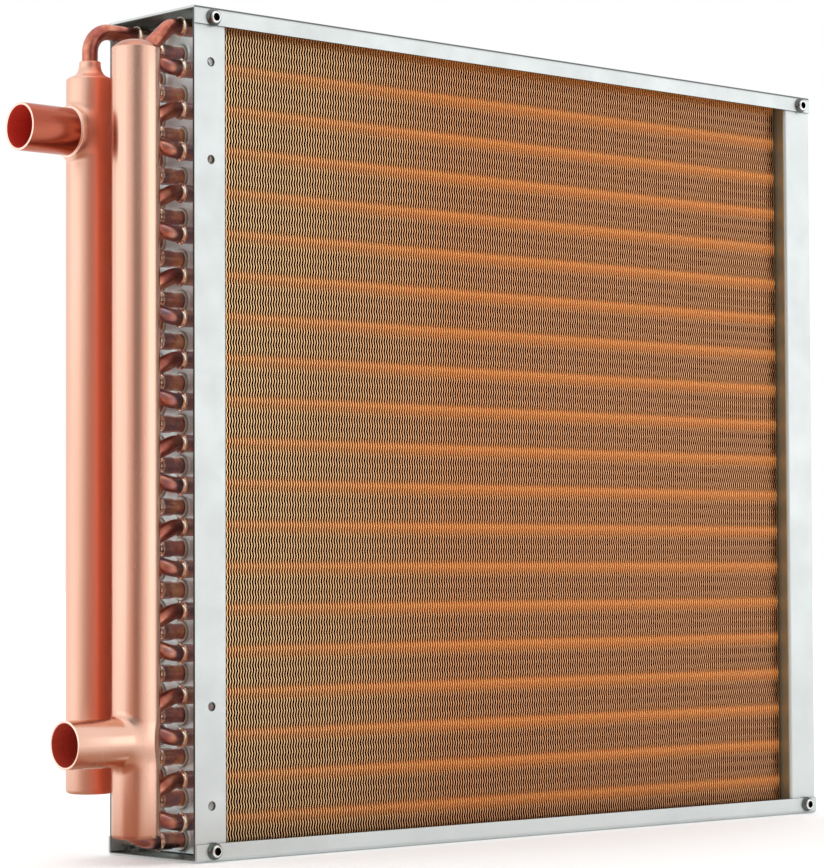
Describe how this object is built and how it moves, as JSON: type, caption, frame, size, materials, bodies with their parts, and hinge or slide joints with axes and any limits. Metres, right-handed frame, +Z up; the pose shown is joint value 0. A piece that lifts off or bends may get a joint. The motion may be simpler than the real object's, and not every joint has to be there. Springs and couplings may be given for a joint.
{
  "type": "water-to-air heat exchanger",
  "caption": "Finned coil in a galvanised casing that heats or cools passing air with water, with copper return bends, headers and side ports at its left end.",
  "frame": {"origin": "middle of the casing's underside, which the exchanger stands on", "axes": "+X along the fin pack away from the headers, +Y through the coil from its front face to its back, +Z up"},
  "size_m": [0.6385, 0.0928, 0.508],
  "materials": {
    "galvanised_sheet": "galvanised, satin with faint spangle",
    "coated_fins": "gold-coloured protective coating on corrugated foil",
    "header_copper": "bare copper tube, satin",
    "tube_copper": "bare copper tube, darkened by brazing",
    "zinc_plated_steel": "zinc plated"
  },
  "bodies": {
    "root": {"top_plate": "galvanised_sheet", "bottom_plate": "galvanised_sheet", "left_tube_sheet": "galvanised_sheet", "right_tube_sheet": "galvanised_sheet", "fin_pack": "coated_fins", "front_header": "header_copper", "rear_header": "header_copper", "front_port": "header_copper", "rear_port": "header_copper", "corner_fasteners": "zinc_plated_steel", "hairpin_front_01": "tube_copper", "hairpin_front_02": "tube_copper", "hairpin_front_03": "tube_copper", "hairpin_front_04": "tube_copper", "hairpin_front_05": "tube_copper", "hairpin_front_06": "tube_copper", "hairpin_front_07": "tube_copper", "hairpin_front_08": "tube_copper", "hairpin_front_09": "tube_copper", "hairpin_front_10": "tube_copper", "hairpin_middle_01": "tube_copper", "hairpin_middle_02": "tube_copper", "hairpin_middle_03": "tube_copper", "hairpin_middle_04": "tube_copper", "hairpin_middle_05": "tube_copper", "hairpin_middle_06": "tube_copper", "hairpin_middle_07": "tube_copper", "hairpin_middle_08": "tube_copper", "hairpin_middle_09": "tube_copper", "hairpin_middle_10": "tube_copper", "hairpin_rear_01": "tube_copper", "hairpin_rear_02": "tube_copper", "hairpin_rear_03": "tube_copper", "hairpin_rear_04": "tube_copper", "hairpin_rear_05": "tube_copper", "hairpin_rear_06": "tube_copper", "hairpin_rear_07": "tube_copper", "hairpin_rear_08": "tube_copper", "hairpin_rear_09": "tube_copper", "hairpin_rear_10": "tube_copper", "return_bend_front_01": "tube_copper", "return_bend_front_02": "tube_copper", "return_bend_front_03": "tube_copper", "return_bend_front_04": "tube_copper", "return_bend_front_05": "tube_copper", "return_bend_front_06": "tube_copper", "return_bend_front_07": "tube_copper", "return_bend_front_08": "tube_copper", "return_bend_front_09": "tube_copper", "return_bend_front_10": "tube_copper", "return_bend_rear_01": "tube_copper", "return_bend_rear_02": "tube_copper", "return_bend_rear_03": "tube_copper", "return_bend_rear_04": "tube_copper", "return_bend_rear_05": "tube_copper", "return_bend_rear_06": "tube_copper", "return_bend_rear_07": "tube_copper", "return_bend_rear_08": "tube_copper", "return_bend_rear_09": "tube_copper", "return_bend_rear_10": "tube_copper"}
  },
  "joints": []
}
